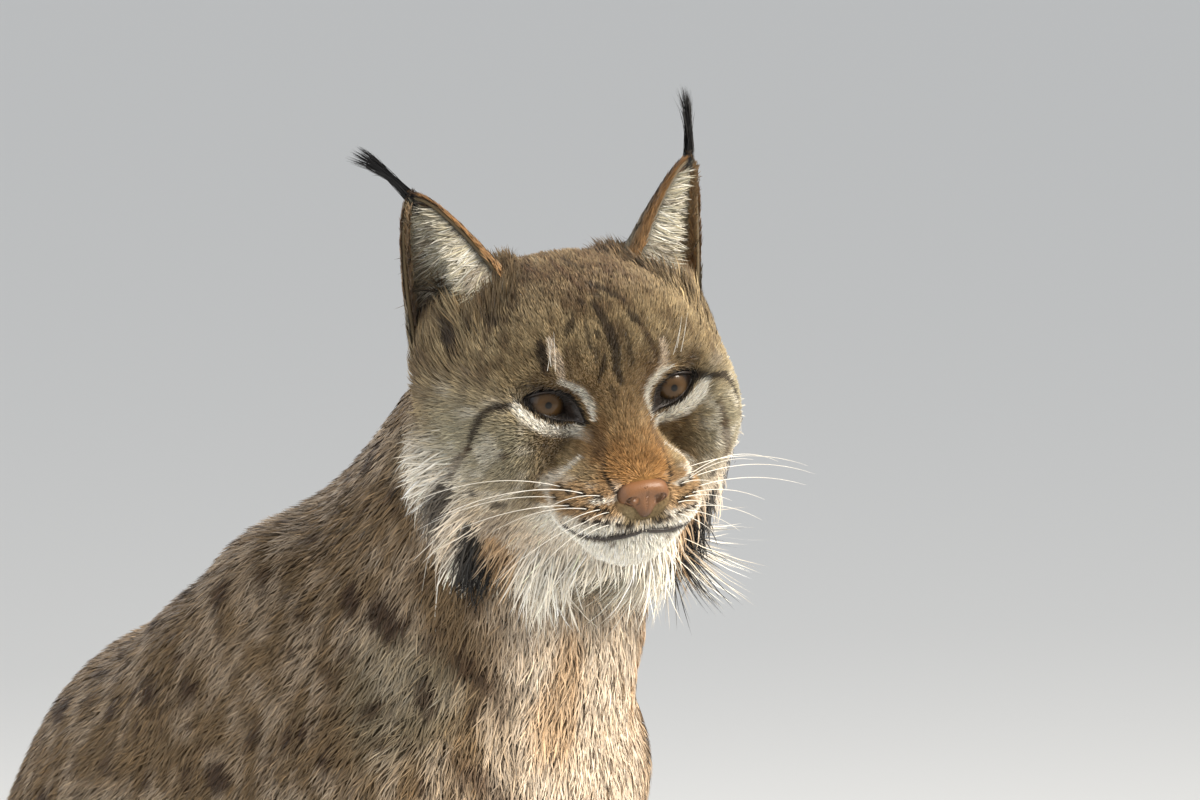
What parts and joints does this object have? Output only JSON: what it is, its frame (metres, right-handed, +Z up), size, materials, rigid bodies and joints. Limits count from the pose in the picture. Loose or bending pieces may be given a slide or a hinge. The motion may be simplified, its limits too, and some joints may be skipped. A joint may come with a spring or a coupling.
{
  "type": "sitting lynx",
  "caption": "Life-size still model of a sitting lynx with a cheek ruff, tufted ears, a short black-tipped tail and its head turned to one side.",
  "frame": {"origin": "on the floor, under the middle of the bounding box", "axes": "+Z up; the lynx's body faces -Y and its right side is -X"},
  "size_m": [0.3266, 0.653, 0.8406],
  "materials": {
    "coat": "dense fur, grey-brown with dark spots",
    "pale_fur": "short dense fur",
    "black_fur": "dense black fur",
    "nose_leather": "fine-grained, slightly moist",
    "eye": "wet and glossy"
  },
  "bodies": {
    "root": {"torso": "coat", "neck": "coat", "head": "coat", "ear_left": "coat", "ear_right": "coat", "foreleg_left": "coat", "foreleg_right": "coat", "haunch_left": "coat", "haunch_right": "coat", "hindfoot_left": "coat", "hindfoot_right": "coat", "tail_base": "coat", "tail_tip": "black_fur", "forepaw_left": "pale_fur", "forepaw_right": "pale_fur", "hindpaw_left": "pale_fur", "hindpaw_right": "pale_fur", "nose": "nose_leather", "eye_left": "eye", "eye_right": "eye"}
  },
  "joints": []
}
